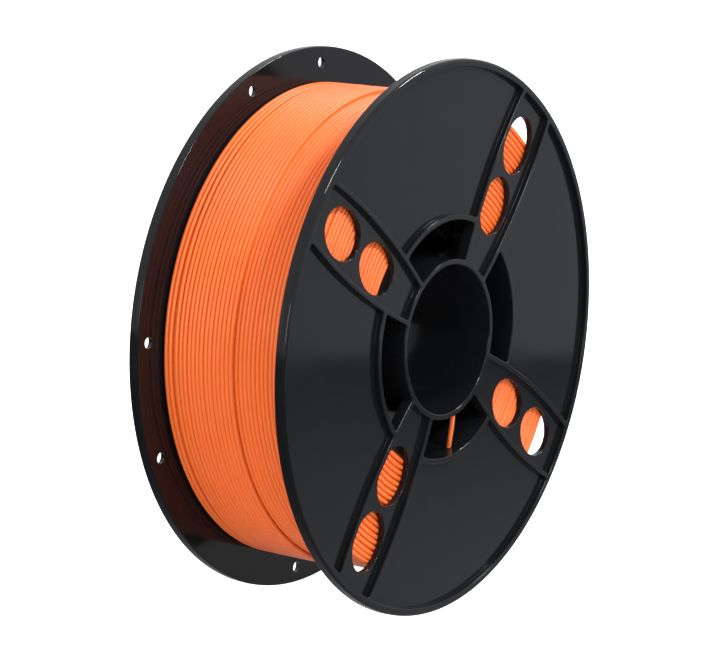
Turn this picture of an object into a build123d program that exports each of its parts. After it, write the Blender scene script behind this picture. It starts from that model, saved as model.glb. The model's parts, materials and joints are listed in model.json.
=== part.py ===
"""Filament spool: two moulded half-spools joined at mid-width, wound with one strand of filament.

Millimetres, +Z up. The spool turns about the Y axis, its front flange faces -Y,
and the origin is the middle of its bore.
"""
import os
from math import cos, radians, sin, sqrt

from build123d import *

# ---- driving dimensions -------------------------------------------------------------------
SPOOL_DIAMETER = 200.0
SPOOL_WIDTH = 66.0
BORE_DIAMETER = 54.0
DRUM_DIAMETER = 90.0
TUBE_WALL = 2.0  # sleeve round the bore, and drum under the filament
FLOOR_THICKNESS = 2.2  # flange plate, measured from the filament's side
RIB_HEIGHT = 2.0  # rim bead, ribs and tube ends above the plate
RIB_WIDTH = 1.7
RIM_WIDTH = 2.8
RIM_FRONT_ROUND = 1.1
RIM_BACK_ROUND = 0.5

SPOKE_COUNT = 4
SPOKE_ANGLE = 52.75  # the first spoke, in degrees from +X towards +Z
SPOKE_WIDTH = 26.2  # at its widest, over both ribs
SPOKE_WIDEST_AT = 73.0  # distance of that place from the axis
SPOKE_BOW_RADIUS = 210.0  # plan radius of each long edge
SIGHT_HOLE_LENGTH = 22.3
SIGHT_HOLE_WIDTH = 17.4
FRONT_SIGHT_HOLES = (54.3, 79.6)  # distances from the axis
REAR_SIGHT_HOLES = (54.3,)

TIE_HOLE_DIAMETER = 4.0
TIE_CIRCLE_DIAMETER = 188.4
TIE_HOLE_SPREAD = 13.0  # each side of the middle of a panel, in degrees

LAP_LENGTH = 3.0  # spigot and socket where the halves meet
LATCH_ARC = 16.0  # degrees round the drum
LATCH_THICKNESS = 1.6
LATCH_STEP = 0.8
LATCH_ROOT = 12.0
CATCH_NEAR = 6.0
CATCH_FAR = 9.0
LATCH_TIP = 12.0

FILAMENT_DIAMETER = 1.75
WOUND_RADIUS = 87.2
LAYER_STEP = 1.5  # one layer nested on the next
LAST_LAYER_END = -2.0  # the top layer covers the width from the rear flange to here
START_HOLE_DIAMETER = 2.4
START_HOLE_X = 7.7
START_HOLE_Y = -27.5
START_TAIL_TIP = (8.8, -29.0, -30.4)

# ---- sizes that follow ----------------------------------------------------------------------
RIM_RADIUS = SPOOL_DIAMETER / 2
RIM_INNER = RIM_RADIUS - RIM_WIDTH
FACE = SPOOL_WIDTH / 2
FLANGE_THICKNESS = FLOOR_THICKNESS + RIB_HEIGHT
INNER_FACE = FACE - FLANGE_THICKNESS
PANEL_FACE = FACE - RIB_HEIGHT
BORE_RADIUS = BORE_DIAMETER / 2
SLEEVE_RADIUS = BORE_RADIUS + TUBE_WALL
DRUM_RADIUS = DRUM_DIAMETER / 2
DRUM_INNER = DRUM_RADIUS - TUBE_WALL
LAP_WALL = TUBE_WALL / 2
SPOKE_ANGLES = [SPOKE_ANGLE + n * 360 / SPOKE_COUNT for n in range(SPOKE_COUNT)]
UNDER_LAYER_RADIUS = WOUND_RADIUS - LAYER_STEP

os.makedirs("parts", exist_ok=True)


def save(name, part):
    """Label a finished piece and write it to its own file."""
    part.label = name
    export_step(part, f"parts/{name}.step")


def spoke_plane(angle, height):
    """Plane facing -Y at y = -height, with its X along the spoke at that angle."""
    turn = radians(angle)
    return Plane(origin=(0, -height, 0), x_dir=(cos(turn), 0, sin(turn)), z_dir=(0, -1, 0))


def radial_plane(angle):
    """Plane through the axis: X is the distance from the axis at that angle, Y is the spool's Y."""
    turn = radians(angle)
    return Plane(origin=(0, 0, 0), x_dir=(cos(turn), 0, sin(turn)), z_dir=(-sin(turn), 0, cos(turn)))


def draw_spoke(inset=0.0):
    """Outline of a spoke between sleeve and rim: two bowed edges that would meet on the axis."""
    bow_offset = SPOKE_BOW_RADIUS - SPOKE_WIDTH / 2
    with Locations((SPOKE_WIDEST_AT, -bow_offset)):
        Circle(SPOKE_BOW_RADIUS - inset)
    with Locations((SPOKE_WIDEST_AT, bow_offset)):
        Circle(SPOKE_BOW_RADIUS - inset, mode=Mode.INTERSECT)
    Circle(RIM_INNER, mode=Mode.INTERSECT)
    Circle(SLEEVE_RADIUS, mode=Mode.SUBTRACT)


def draw_sight_holes(places):
    """Ovals along a spoke, centred at those distances from the axis."""
    with Locations(*[(place, 0) for place in places]):
        Ellipse(SIGHT_HOLE_LENGTH / 2, SIGHT_HOLE_WIDTH / 2)


def draw_ring(outer, inner):
    """Flat ring round the axis."""
    Circle(outer)
    Circle(inner, mode=Mode.SUBTRACT)


# ---- room that the four spokes take in the flange and in the drum's end ----------------------
with BuildPart() as spoke_room:
    for spoke_angle in SPOKE_ANGLES:
        with BuildSketch(spoke_plane(spoke_angle, INNER_FACE)):
            draw_spoke()
        extrude(amount=FLANGE_THICKNESS)

# ---- flange: four panels inside a rounded rim bead -------------------------------------------
with BuildPart() as front_flange:
    with BuildSketch(Plane.XY):
        with BuildLine():
            Polyline(
                (DRUM_RADIUS, -INNER_FACE),
                (RIM_RADIUS, -INNER_FACE),
                (RIM_RADIUS, -FACE),
                (RIM_INNER, -FACE),
                (RIM_INNER, -PANEL_FACE),
                (DRUM_RADIUS, -PANEL_FACE),
                close=True,
            )
        make_face()
    revolve(axis=Axis.Y)
    rim_edges = front_flange.edges().filter_by(GeomType.CIRCLE).group_by(SortBy.RADIUS)[-1]
    fillet(rim_edges.sort_by(Axis.Y)[0], RIM_FRONT_ROUND)
    rim_edges = front_flange.edges().filter_by(GeomType.CIRCLE).group_by(SortBy.RADIUS)[-1]
    fillet(rim_edges.sort_by(Axis.Y)[-1], RIM_BACK_ROUND)
    add(spoke_room.part, mode=Mode.SUBTRACT)
save("front_flange", front_flange.part)

with BuildPart() as rear_flange:
    mirror(front_flange.part, about=Plane.XZ)
    panel_middle = SPOKE_ANGLE + 180 / SPOKE_COUNT
    for spread in (-TIE_HOLE_SPREAD, TIE_HOLE_SPREAD):
        with BuildSketch(Plane.XZ.offset(-PANEL_FACE)):
            with PolarLocations(TIE_CIRCLE_DIAMETER / 2, SPOKE_COUNT, start_angle=panel_middle + spread):
                Circle(TIE_HOLE_DIAMETER / 2)
        extrude(amount=FLOOR_THICKNESS, mode=Mode.SUBTRACT)
save("rear_flange", rear_flange.part)

# ---- spokes: shallow trays from sleeve to rim, with oval sight holes -------------------------
for number, spoke_angle in enumerate(SPOKE_ANGLES, start=1):
    with BuildPart() as spoke_tray:
        with BuildSketch(spoke_plane(spoke_angle, INNER_FACE)):
            draw_spoke()
        extrude(amount=FLANGE_THICKNESS)
        with BuildSketch(spoke_plane(spoke_angle, FACE)):
            draw_spoke(inset=RIB_WIDTH)
        extrude(amount=-RIB_HEIGHT, mode=Mode.SUBTRACT)

    with BuildPart() as front_spoke:
        add(spoke_tray.part)
        with BuildSketch(spoke_plane(spoke_angle, INNER_FACE)):
            draw_sight_holes(FRONT_SIGHT_HOLES)
        extrude(amount=FLANGE_THICKNESS, mode=Mode.SUBTRACT)
    save(f"front_spoke_{number}", front_spoke.part)

    with BuildPart() as rear_spoke:
        mirror(spoke_tray.part, about=Plane.XZ)
        with BuildSketch(spoke_plane(spoke_angle, -FACE)):
            draw_sight_holes(REAR_SIGHT_HOLES)
        extrude(amount=FLANGE_THICKNESS, mode=Mode.SUBTRACT)
    save(f"rear_spoke_{number}", rear_spoke.part)

# ---- drum: the tube that the filament is wound on, in two halves -----------------------------
with BuildPart() as front_drum:
    with BuildSketch(Plane.XZ):
        draw_ring(DRUM_RADIUS, DRUM_INNER)
    extrude(amount=FACE)
    add(spoke_room.part, mode=Mode.SUBTRACT)
    with BuildSketch(Plane.XZ):
        draw_ring(DRUM_INNER + LAP_WALL, DRUM_INNER)
    extrude(amount=LAP_LENGTH, mode=Mode.SUBTRACT)
    with BuildSketch(Plane.XY.offset(-DRUM_RADIUS)):
        with Locations((START_HOLE_X, START_HOLE_Y)):
            Circle(START_HOLE_DIAMETER / 2)
    extrude(amount=2 * TUBE_WALL, mode=Mode.SUBTRACT)
save("front_drum", front_drum.part)

with BuildPart() as rear_drum:
    with BuildSketch(Plane.XZ):
        draw_ring(DRUM_RADIUS, DRUM_INNER)
    extrude(amount=-FACE)
    mirror(spoke_room.part, about=Plane.XZ, mode=Mode.SUBTRACT)
    with BuildSketch(Plane.XZ):
        draw_ring(DRUM_INNER + LAP_WALL, DRUM_INNER)
    extrude(amount=LAP_LENGTH)
save("rear_drum", rear_drum.part)

# ---- bore sleeve: the tube that turns on the spindle, in two halves --------------------------
with BuildPart() as front_bore_sleeve:
    with BuildSketch(Plane.XZ):
        draw_ring(SLEEVE_RADIUS, BORE_RADIUS)
    extrude(amount=FACE)
    with BuildSketch(Plane.XZ):
        draw_ring(SLEEVE_RADIUS, SLEEVE_RADIUS - LAP_WALL)
    extrude(amount=LAP_LENGTH, mode=Mode.SUBTRACT)
save("front_bore_sleeve", front_bore_sleeve.part)

with BuildPart() as rear_bore_sleeve:
    with BuildSketch(Plane.XZ):
        draw_ring(SLEEVE_RADIUS, BORE_RADIUS)
    extrude(amount=-FACE)
    with BuildSketch(Plane.XZ):
        draw_ring(SLEEVE_RADIUS, SLEEVE_RADIUS - LAP_WALL)
    extrude(amount=LAP_LENGTH)
save("rear_bore_sleeve", rear_bore_sleeve.part)

# ---- snap latches inside the drum, one behind each spoke -------------------------------------
step_radius = DRUM_INNER - LATCH_STEP
with BuildPart() as core_catches:
    for spoke_angle in SPOKE_ANGLES:
        with BuildSketch(radial_plane(spoke_angle + LATCH_ARC / 2)):
            with BuildLine():
                Polyline(
                    (step_radius, -CATCH_NEAR),
                    (DRUM_INNER, -CATCH_NEAR),
                    (DRUM_INNER, -CATCH_FAR),
                    (step_radius, -CATCH_FAR),
                    close=True,
                )
            make_face()
        revolve(axis=Axis.Y, revolution_arc=LATCH_ARC)
save("core_catches", core_catches.part)

with BuildPart() as core_latches:
    for spoke_angle in SPOKE_ANGLES:
        with BuildSketch(radial_plane(spoke_angle + LATCH_ARC / 2)):
            with BuildLine():
                Polyline(
                    (DRUM_INNER, LATCH_ROOT),
                    (DRUM_INNER, LAP_LENGTH),
                    (step_radius, LAP_LENGTH),
                    (step_radius, -CATCH_FAR),
                    (DRUM_INNER, -CATCH_FAR),
                    (step_radius, -LATCH_TIP),
                    (step_radius - LATCH_THICKNESS, -LATCH_TIP),
                    (step_radius - LATCH_THICKNESS, LATCH_ROOT),
                    close=True,
                )
            make_face()
        revolve(axis=Axis.Y, revolution_arc=LATCH_ARC)
save("core_latches", core_latches.part)

# ---- filament: one strand, its start poked through the drum, wound layer on layer ------------
with BuildPart() as filament_winding:
    with BuildSketch(Plane.XZ.offset(-INNER_FACE)):
        draw_ring(UNDER_LAYER_RADIUS, DRUM_RADIUS)
    extrude(amount=2 * INNER_FACE)
save("filament_winding", filament_winding.part)

with BuildPart() as filament_top_layer:
    with BuildSketch(Plane.XZ.offset(-INNER_FACE)):
        draw_ring(WOUND_RADIUS, UNDER_LAYER_RADIUS)
    extrude(amount=INNER_FACE - LAST_LAYER_END)
save("filament_top_layer", filament_top_layer.part)

tail_side = START_HOLE_X + FILAMENT_DIAMETER / 2
tail_root = (START_HOLE_X, START_HOLE_Y, FILAMENT_DIAMETER / 8 - sqrt(DRUM_RADIUS**2 - tail_side**2))
with BuildPart() as filament_start_tail:
    with BuildLine():
        tail_path = Line(tail_root, START_TAIL_TIP)
    with BuildSketch(tail_path ^ 0):
        Circle(FILAMENT_DIAMETER / 2)
    sweep()
save("filament_start_tail", filament_start_tail.part)
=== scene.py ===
"""Looks for the filament spool: two glossy black half-spools joined at mid-width, wound in orange strand.

Lengths are in millimetres until a mesh is finished, which is then in metres in the shared frame:
Y runs along the bore from the front flange to the rear one, Z is up, and the origin is mid-bore.
"""
import json
import logging
import math
from dataclasses import dataclass, field
from enum import Enum
from typing import Iterable, Optional, Sequence

import bpy
import numpy as np
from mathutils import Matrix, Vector
from mathutils.geometry import tessellate_polygon


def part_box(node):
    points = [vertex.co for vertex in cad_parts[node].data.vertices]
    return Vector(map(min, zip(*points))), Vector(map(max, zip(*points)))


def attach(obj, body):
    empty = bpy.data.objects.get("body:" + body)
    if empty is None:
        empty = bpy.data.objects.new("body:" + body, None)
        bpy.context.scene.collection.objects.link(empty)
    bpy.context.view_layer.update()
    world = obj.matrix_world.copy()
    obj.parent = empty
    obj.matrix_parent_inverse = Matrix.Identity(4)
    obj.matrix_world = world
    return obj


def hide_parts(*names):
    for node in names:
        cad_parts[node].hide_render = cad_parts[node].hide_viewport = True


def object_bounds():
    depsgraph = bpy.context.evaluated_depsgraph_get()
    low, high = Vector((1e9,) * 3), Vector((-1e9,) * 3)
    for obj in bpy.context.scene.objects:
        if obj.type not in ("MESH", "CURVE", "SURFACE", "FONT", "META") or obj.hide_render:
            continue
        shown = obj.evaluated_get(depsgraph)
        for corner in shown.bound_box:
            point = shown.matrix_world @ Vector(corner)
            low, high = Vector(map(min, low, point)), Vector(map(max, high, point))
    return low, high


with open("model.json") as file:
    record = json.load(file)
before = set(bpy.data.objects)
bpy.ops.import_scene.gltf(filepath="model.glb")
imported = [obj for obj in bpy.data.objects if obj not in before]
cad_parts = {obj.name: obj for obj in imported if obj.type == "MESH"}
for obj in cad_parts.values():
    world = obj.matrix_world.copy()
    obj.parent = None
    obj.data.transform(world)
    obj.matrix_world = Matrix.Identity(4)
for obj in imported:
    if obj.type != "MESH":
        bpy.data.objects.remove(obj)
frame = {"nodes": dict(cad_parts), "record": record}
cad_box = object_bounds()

logging.basicConfig(level=logging.INFO, format="%(message)s")
log = logging.getLogger("spool")

MM = 0.001  # metres in a millimetre
BODY = "root"

Point2 = tuple[float, float]


class Side(Enum):
    """Which flange a piece belongs to. The value is the sign of Y on that side."""

    FRONT = -1
    REAR = 1


# ---- measures read from the frame -------------------------------------------------------------


def node_radius(name: str) -> float:
    """Outer radius of a CAD node about the bore, in millimetres."""
    return round(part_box(name)[1].x / MM, 2)


def mount_sizes(name: str) -> dict[str, float]:
    """Stated dimensions of one of the record's mounts.

    Args:
        name: the mount's name in the record.

    Returns:
        Its dims, in millimetres.
    """
    return next(m for m in frame["record"]["mounts"] if m["name"] == name)["dims"]


def put_in_scene(name: str, data: bpy.types.ID) -> bpy.types.Object:
    """A new object at the origin that shows a mesh, curve, lamp or camera."""
    thing = bpy.data.objects.new(name, data)
    bpy.context.scene.collection.objects.link(thing)
    return thing


def made_plain(carrier: bpy.types.Object, name: str) -> bpy.types.Object:
    """Turn a carrier's evaluated shape into a plain mesh piece, and remove the carrier.

    Args:
        carrier: the object with the curve or modifier.
        name: the piece's name.

    Returns:
        The piece.
    """
    mesh = bpy.data.meshes.new_from_object(carrier.evaluated_get(bpy.context.evaluated_depsgraph_get()))
    mesh.name = name
    bpy.data.objects.remove(carrier)
    return put_in_scene(name, mesh)


# ---- plan outlines -----------------------------------------------------------------------------


def heading(degrees: float) -> Point2:
    """Unit direction at an angle about the bore, from +X towards +Z."""
    return math.cos(math.radians(degrees)), math.sin(math.radians(degrees))


@dataclass(frozen=True)
class Round:
    """One circle that bounds an opening, seen along the bore.

    Args:
        centre: middle of the circle.
        radius: its radius.
        opening_inside: whether the opening lies inside the circle.
    """

    centre: Point2
    radius: float
    opening_inside: bool

    def moved(self, distance: float) -> float:
        """Radius of the circle that lies that far into the opening."""
        return self.radius - distance if self.opening_inside else self.radius + distance


@dataclass
class Outline:
    """A closed line round an opening, with the direction into the plastic at each point.

    Args:
        points: N x 2 places, in order round the opening.
        inward: N x 2 unit directions from the opening into the plastic.
        spans: for each named stretch, its first and last point's index.
    """

    points: np.ndarray
    inward: np.ndarray
    spans: dict[str, tuple[int, int]] = field(default_factory=dict)

    def offset(self, distance: float) -> np.ndarray:
        """Points moved that far into the plastic."""
        return self.points + self.inward * distance

    def stretch(self, name: str) -> np.ndarray:
        """Points of one named stretch, ends included."""
        first, last = self.spans[name]
        return self.points[first : last + 1]

    def turned(self, degrees: float) -> "Outline":
        """The same outline turned about the bore."""
        c, s = heading(degrees)
        turn = np.array([[c, s], [-s, c]])
        return Outline(self.points @ turn, self.inward @ turn, self.spans)


def circle_outline(
    radius: float, steps: int, opening_inside: bool, centre: Point2 = (0.0, 0.0)
) -> Outline:
    """A full circle as an outline.

    Args:
        radius: its radius.
        steps: number of points.
        opening_inside: False when the plastic is inside, as for the rim.
        centre: its middle.

    Returns:
        The outline, counter-clockwise.
    """
    t = np.linspace(0.0, 2 * math.pi, steps, endpoint=False)
    out = np.stack([np.cos(t), np.sin(t)], 1)
    return Outline(np.array(centre) + out * radius, out if opening_inside else -out)


def fillet_centre(a: Round, b: Round, radius: float, toward: Point2) -> np.ndarray:
    """Middle of the fillet that is tangent to two circles on the opening's side.

    Args:
        a: first circle.
        b: second circle.
        radius: fillet radius.
        toward: direction that picks one of the two places where the circles meet.

    Returns:
        The fillet's middle.
    """
    ra, rb = a.moved(radius), b.moved(radius)
    ca, cb = np.array(a.centre), np.array(b.centre)
    gap = cb - ca
    d = float(np.hypot(*gap))
    along = (d * d + ra * ra - rb * rb) / (2 * d)
    across = math.sqrt(max(ra * ra - along * along, 0.0))
    foot, side = ca + gap / d * along, np.array([-gap[1], gap[0]]) / d
    return max((foot + side * across, foot - side * across), key=lambda p: float(p @ np.array(toward)))


def arc_points(
    centre: np.ndarray, start: np.ndarray, end: np.ndarray, longest: float, fewest: int
) -> np.ndarray:
    """Points on the shorter arc between two places at the same distance from a centre.

    Args:
        centre: middle of the arc.
        start: first point.
        end: last point.
        longest: longest allowed step.
        fewest: least number of steps.

    Returns:
        The points, ends included.
    """
    radius = float(np.hypot(*(start - centre)))
    a0 = math.atan2(*(start - centre)[::-1])
    turn = (math.atan2(*(end - centre)[::-1]) - a0 + math.pi) % (2 * math.pi) - math.pi
    steps = max(fewest, math.ceil(abs(turn) * radius / longest))
    t = a0 + np.linspace(0.0, turn, steps + 1)
    return centre + radius * np.stack([np.cos(t), np.sin(t)], 1)


def rounded_outline(
    rounds: Sequence[tuple[str, Round]], toward: Sequence[Point2], fillet: float, longest: float
) -> Outline:
    """Outline bounded by circles that meet in filleted corners.

    Args:
        rounds: named circles in counter-clockwise order round the opening.
        toward: for each circle, the direction of its corner with the next one.
        fillet: corner radius.
        longest: longest step along a circle.

    Returns:
        The outline, with one named stretch for each circle.
    """
    count = len(rounds)
    centres = [
        fillet_centre(rounds[i][1], rounds[(i + 1) % count][1], fillet, toward[i]) for i in range(count)
    ]

    def touch(circle: Round, centre: np.ndarray) -> np.ndarray:
        """Where a fillet touches a circle."""
        arm = centre - np.array(circle.centre)
        return np.array(circle.centre) + arm / np.hypot(*arm) * circle.radius

    points: list[np.ndarray] = []
    inward: list[np.ndarray] = []
    spans: dict[str, tuple[int, int]] = {}
    for i, (name, circle) in enumerate(rounds):
        before, after = centres[i - 1], centres[i]
        middle = np.array(circle.centre)
        arc = arc_points(middle, touch(circle, before), touch(circle, after), longest, 3)
        arms = (arc - middle) / circle.radius
        spans[name] = (len(points), len(points) + len(arc) - 1)
        points += list(arc)
        inward += list(arms if circle.opening_inside else -arms)
        nxt = rounds[(i + 1) % count][1]
        bend = arc_points(after, touch(circle, after), touch(nxt, after), longest, 4)[1:-1]
        points += list(bend)
        inward += list((bend - after) / fillet)
    return Outline(np.array(points), np.array(inward), spans)


# ---- mesh building -----------------------------------------------------------------------------

Section = Sequence[tuple[float, float, float, float]]


class ShellMesh:
    """Gathers the faces of one moulding, each corner with its true surface direction.

    Heights run outwards from the joint at mid-width, so both half-spools are drawn alike.
    """

    def __init__(self, side: Side) -> None:
        """Start an empty shell.

        Args:
            side: the flange that it belongs to.
        """
        self.side = side
        self.places: list[tuple[float, float, float]] = []
        self.index: dict[tuple[float, float, float], int] = {}
        self.faces: list[tuple[int, ...]] = []
        self.directions: list[tuple[float, float, float]] = []

    def corner(self, x: float, z: float, height: float) -> int:
        """Index of the point there, which neighbouring faces share."""
        place = (round(float(x), 4), round(self.side.value * float(height), 4), round(float(z), 4))
        if place not in self.index:
            self.index[place] = len(self.places)
            self.places.append(place)
        return self.index[place]

    def face(self, corners: Sequence[int], directions: Sequence[Sequence[float]]) -> None:
        """Add one face, turned so that it looks along its directions.

        Args:
            corners: point indices.
            directions: surface direction at each corner, in the frame.
        """
        kept = [i for i, c in enumerate(corners) if c != corners[i - 1]]
        if len(kept) < 3:
            return
        loop = [corners[i] for i in kept]
        looks = [tuple(float(v) for v in directions[i]) for i in kept]
        a, b, c = (Vector(self.places[i]) for i in loop[:3])
        normal = (b - a).cross(c - a)
        if len(loop) == 4:
            normal = (c - a).cross(Vector(self.places[loop[3]]) - b)
        mean = sum((Vector(v) for v in looks), Vector())
        if normal.dot(mean) < 0:
            loop.reverse()
            looks.reverse()
        self.faces.append(tuple(loop))
        self.directions += looks

    def wall(self, outline: Outline, section: Section, closed: bool = True) -> None:
        """Carry a section along an outline.

        Args:
            outline: the line that it follows.
            section: for each point of the section, its distance into the plastic, its height, and
                the surface direction's parts into the plastic and outwards along the bore.
            closed: whether the last point joins the first.
        """
        rings = []
        for distance, height, into, out in section:
            places = outline.offset(distance)
            ids = [self.corner(x, z, height) for x, z in places]
            looks = [(n[0] * into, self.side.value * out, n[1] * into) for n in outline.inward]
            rings.append((ids, looks))
        count = len(outline.points)
        for (ids_a, looks_a), (ids_b, looks_b) in zip(rings, rings[1:]):
            for i in range(count if closed else count - 1):
                j = (i + 1) % count
                self.face(
                    (ids_a[i], ids_a[j], ids_b[j], ids_b[i]),
                    (looks_a[i], looks_a[j], looks_b[j], looks_b[i]),
                )

    def flat(self, outer: np.ndarray, holes: Iterable[np.ndarray], height: float, outwards: bool) -> None:
        """Close a level region with triangles.

        Args:
            outer: the region's outer line.
            holes: lines round its holes.
            height: its height.
            outwards: whether it looks away from the joint.
        """
        loops = [outer, *holes]
        flat_points = [p for loop in loops for p in loop]
        ids = [self.corner(p[0], p[1], height) for p in flat_points]
        look = (0.0, self.side.value * (1.0 if outwards else -1.0), 0.0)
        for a, b, c in tessellate_polygon([[Vector((p[0], p[1], 0.0)) for p in loop] for loop in loops]):
            self.face((ids[a], ids[b], ids[c]), (look, look, look))

    def finish(self, name: str) -> bpy.types.Object:
        """Make the Blender object.

        Args:
            name: the piece's name.

        Returns:
            The object, with its place in its mesh.
        """
        mesh = bpy.data.meshes.new(name)
        mesh.from_pydata([tuple(v * MM for v in p) for p in self.places], [], self.faces)
        mesh.polygons.foreach_set("use_smooth", [True] * len(mesh.polygons))
        mesh.normals_split_custom_set(self.directions)
        mesh.validate(clean_customdata=False)
        mesh.update()
        return put_in_scene(name, mesh)


def edge_round(radius: float, top: float, steps: int = 3) -> list[tuple[float, float, float, float]]:
    """Section of a convex edge between a level face and the wall below it.

    Args:
        radius: size of the rounding.
        top: height of the face.
        steps: faces across the rounding.

    Returns:
        Section points from the face down to the wall.
    """
    turns = [math.pi / 2 * i / steps for i in range(steps + 1)]
    return [
        (radius * (1 - math.sin(t)), top - radius * (1 - math.cos(t)), -math.sin(t), math.cos(t))
        for t in turns
    ]


def foot_round(radius: float, floor: float, steps: int = 2) -> list[tuple[float, float, float, float]]:
    """Section of the fillet where a wall meets the floor below it.

    Args:
        radius: size of the fillet.
        floor: height of the floor.
        steps: faces across the fillet.

    Returns:
        Section points from the wall down to the floor.
    """
    turns = [math.pi / 2 * i / steps for i in range(steps + 1)]
    return [
        (-radius * (1 - math.cos(t)), floor + radius * (1 - math.sin(t)), -math.cos(t), math.sin(t))
        for t in turns
    ]


# ---- materials ---------------------------------------------------------------------------------


def linear(hex_colour: str) -> tuple[float, float, float, float]:
    """Linear colour of an sRGB hex value such as '#1a2b3c'."""
    parts = [int(hex_colour[i : i + 2], 16) / 255 for i in (1, 3, 5)]
    return (*[c / 12.92 if c <= 0.04045 else ((c + 0.055) / 1.055) ** 2.4 for c in parts], 1.0)


def add_node(
    tree: bpy.types.NodeTree,
    kind: str,
    settings: Optional[dict] = None,
    inputs: Optional[dict] = None,
    links: Optional[dict] = None,
) -> bpy.types.Node:
    """Add a node with its settings, input values and incoming links.

    Args:
        tree: the node tree.
        kind: the node's type name.
        settings: attributes of the node.
        inputs: values by input name or number.
        links: output sockets by input name or number.

    Returns:
        The new node.
    """
    node = tree.nodes.new(kind)
    for key, value in (settings or {}).items():
        setattr(node, key, value)
    for key, value in (inputs or {}).items():
        node.inputs[key].default_value = value
    for key, socket in (links or {}).items():
        tree.links.new(socket, node.inputs[key])
    return node


def new_surface(
    name: str, shader_inputs: dict
) -> tuple[bpy.types.Material, bpy.types.NodeTree, bpy.types.Node]:
    """A material with one surface shader whose constants sit on its own sockets.

    Args:
        name: the material's name.
        shader_inputs: values for the shader's sockets.

    Returns:
        The material, its tree and its shader.
    """
    material = bpy.data.materials.new(name)
    material.use_nodes = True
    tree = material.node_tree
    tree.nodes.clear()
    shader = add_node(tree, "ShaderNodeBsdfPrincipled", inputs=shader_inputs)
    add_node(tree, "ShaderNodeOutputMaterial", links={"Surface": shader.outputs["BSDF"]})
    return material, tree, shader


@dataclass(frozen=True)
class MouldedPolystyrene:
    """High-impact polystyrene from a polished mould: deep black with a clear, slightly rippled gloss.

    Args:
        colour: body colour, which only shows where nothing bright is mirrored.
        bloom_colour: slightly greyer patches where the melt cooled slower.
        mirror: strength of the gloss, lower than clean glass because the skin is slightly dusty.
        smooth: least roughness of the polished skin.
        dull: most roughness, in patches.
        ripple_mm: width of the shallow waves left by shrinking.
        grain_mm: width of the fine unevenness of the skin.
    """

    colour: str = "#101113"
    bloom_colour: str = "#141517"
    mirror: float = 0.165
    smooth: float = 0.07
    dull: float = 0.13
    ripple_mm: float = 22.0
    grain_mm: float = 1.1

    def build(self) -> bpy.types.Material:
        """Make the material."""
        material, tree, shader = new_surface(
            "black_moulded_polystyrene", {"IOR": 1.59, "Specular IOR Level": self.mirror, "Metallic": 0.0}
        )
        place = add_node(tree, "ShaderNodeTexCoord").outputs["Object"]
        patches, grain = (
            add_node(
                tree,
                "ShaderNodeTexNoise",
                inputs={"Scale": 1 / (width * MM), "Detail": detail, "Roughness": rough},
                links={"Vector": place},
            )
            for width, detail, rough in ((self.ripple_mm, 3.0, 0.5), (self.grain_mm, 2.0, 0.55))
        )
        colour = add_node(
            tree,
            "ShaderNodeMix",
            {"data_type": "RGBA"},
            {6: linear(self.colour), 7: linear(self.bloom_colour)},
            {"Factor": patches.outputs["Fac"]},
        )
        tree.links.new(colour.outputs[2], shader.inputs["Base Color"])
        rough = add_node(
            tree,
            "ShaderNodeMapRange",
            inputs={"From Min": 0.35, "From Max": 0.65, "To Min": self.smooth, "To Max": self.dull},
            links={"Value": patches.outputs["Fac"]},
        )
        tree.links.new(rough.outputs["Result"], shader.inputs["Roughness"])
        ripple = add_node(
            tree,
            "ShaderNodeBump",
            inputs={"Strength": 0.12, "Distance": 0.25 * MM},
            links={"Height": patches.outputs["Fac"]},
        )
        skin = add_node(
            tree,
            "ShaderNodeBump",
            inputs={"Strength": 0.05, "Distance": 0.02 * MM},
            links={"Height": grain.outputs["Fac"], "Normal": ripple.outputs["Normal"]},
        )
        tree.links.new(skin.outputs["Normal"], shader.inputs["Normal"])
        return material


@dataclass(frozen=True)
class ExtrudedFilament:
    """Orange polylactide drawn through a round die: an even satin skin that lets a little light in.

    Args:
        colour: body colour.
        deep_colour: slightly redder stretches of the strand.
        roughness: satin gloss of the drawn skin.
        draw_mm: length of the slow changes along the strand.
        skin_mm: width of the fine marks left by the die.
    """

    colour: str = "#ef7631"
    deep_colour: str = "#e66528"
    roughness: float = 0.38
    draw_mm: float = 30.0
    skin_mm: float = 0.5

    def build(self) -> bpy.types.Material:
        """Make the material."""
        material, tree, shader = new_surface(
            "orange_extruded_filament",
            {
                "IOR": 1.46,
                "Roughness": self.roughness,
                "Specular IOR Level": 0.45,
                "Subsurface Weight": 0.14,
                "Subsurface Radius": (1.0, 0.35, 0.15),
                "Subsurface Scale": 0.8 * MM,
            },
        )
        place = add_node(tree, "ShaderNodeTexCoord").outputs["Object"]
        slow, fine = (
            add_node(
                tree,
                "ShaderNodeTexNoise",
                inputs={"Scale": 1 / (width * MM), "Detail": 2.0},
                links={"Vector": place},
            )
            for width in (self.draw_mm, self.skin_mm)
        )
        colour = add_node(
            tree,
            "ShaderNodeMix",
            {"data_type": "RGBA"},
            {6: linear(self.colour), 7: linear(self.deep_colour)},
            {"Factor": slow.outputs["Fac"]},
        )
        tree.links.new(colour.outputs[2], shader.inputs["Base Color"])
        skin = add_node(
            tree,
            "ShaderNodeBump",
            inputs={"Strength": 0.12, "Distance": 0.03 * MM},
            links={"Height": fine.outputs["Fac"]},
        )
        tree.links.new(skin.outputs["Normal"], shader.inputs["Normal"])
        return material


@dataclass(frozen=True)
class StudioPaper:
    """Matt paper under the spool.

    Args:
        colour: paper colour.
        glow: light that comes through it from below, as on a light table.
    """

    colour: str
    glow: float = 0.0

    def build(self) -> bpy.types.Material:
        """Make the material."""
        material, _, _ = new_surface(
            "studio_paper",
            {
                "Base Color": linear(self.colour),
                "Roughness": 0.9,
                "Specular IOR Level": 0.1,
                "Emission Color": linear(self.colour),
                "Emission Strength": self.glow,
            },
        )
        return material


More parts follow.
